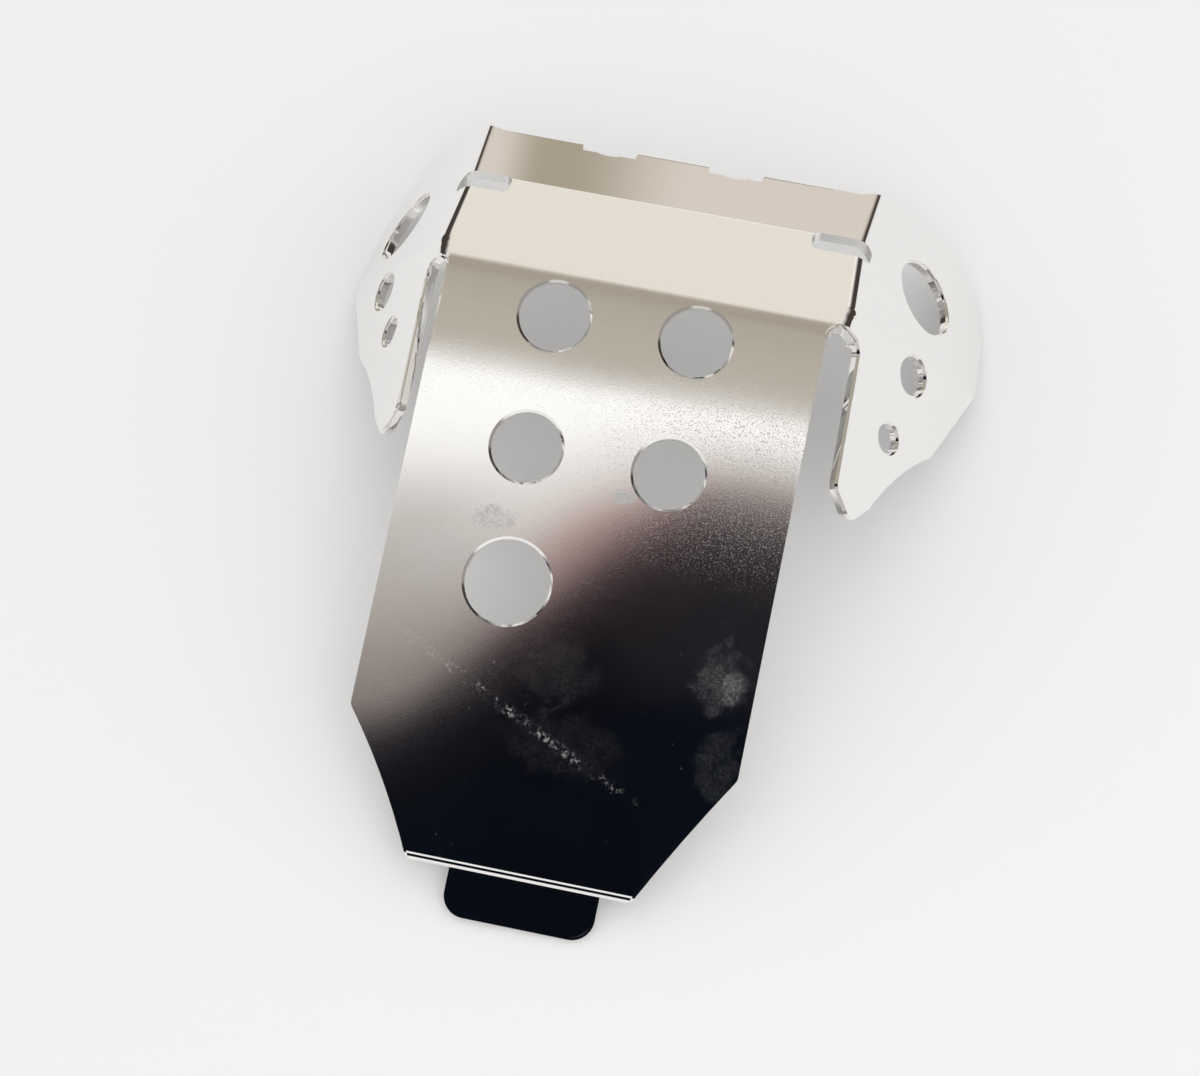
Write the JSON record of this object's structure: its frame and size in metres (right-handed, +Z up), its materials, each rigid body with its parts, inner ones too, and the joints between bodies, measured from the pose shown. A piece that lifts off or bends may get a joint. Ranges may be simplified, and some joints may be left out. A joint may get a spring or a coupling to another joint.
{
  "type": "motorcycle skid plate",
  "caption": "Polished folded aluminium skid plate with a tapered front plate, flat pan, splayed side wings and hook tab, which guards the underside of a motorcycle's engine.",
  "frame": {"origin": "on the floor under the middle of the plate's bounding box, as it lies with its outer face up", "axes": "+Y from the hook tab to the rear flange, +Z up, +X to the side of the wing that is folded least"},
  "size_m": [0.2974, 0.3726, 0.0986],
  "materials": {
    "polished_aluminium": "mirror polished, with light scuffs",
    "tab_aluminium": "polished, with a pale cut edge"
  },
  "bodies": {
    "root": {"skid_plate": "polished_aluminium", "front_tab": "tab_aluminium"}
  },
  "joints": []
}
